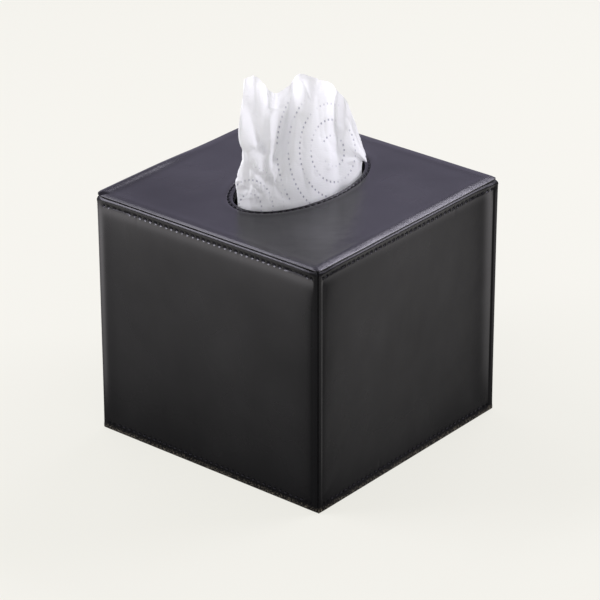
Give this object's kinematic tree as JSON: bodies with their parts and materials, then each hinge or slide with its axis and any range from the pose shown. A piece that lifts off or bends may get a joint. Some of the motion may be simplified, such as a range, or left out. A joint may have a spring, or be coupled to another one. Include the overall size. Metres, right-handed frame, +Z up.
{
  "type": "tissue box cover",
  "caption": "Square leather cover with an open bottom and stitched edges, over a pack of tissues, one tissue pulled up through its oval opening.",
  "frame": {"origin": "middle of the footprint, on the surface that the cover stands on", "axes": "+Z up; the opening is long along Y; the front faces -Y and the right side +X"},
  "size_m": [0.14, 0.14, 0.1929],
  "materials": {
    "leather": "smooth semi-gloss black leather",
    "board": "plain grey board",
    "lining": "short-napped black lining cloth",
    "thread": "waxed black thread",
    "tissue": "soft embossed white tissue"
  },
  "bodies": {
    "root": {"top_leather": "leather", "front_leather": "leather", "right_leather": "leather", "back_leather": "leather", "left_leather": "leather", "top_board": "board", "front_board": "board", "right_board": "board", "back_board": "board", "left_board": "board", "top_lining": "lining", "front_lining": "lining", "right_lining": "lining", "back_lining": "lining", "left_lining": "lining", "opening_stitching": "thread", "front_stitching": "thread", "right_stitching": "thread", "back_stitching": "thread", "left_stitching": "thread", "tissue_pack": "tissue", "pulled_tissue": "tissue"}
  },
  "joints": []
}
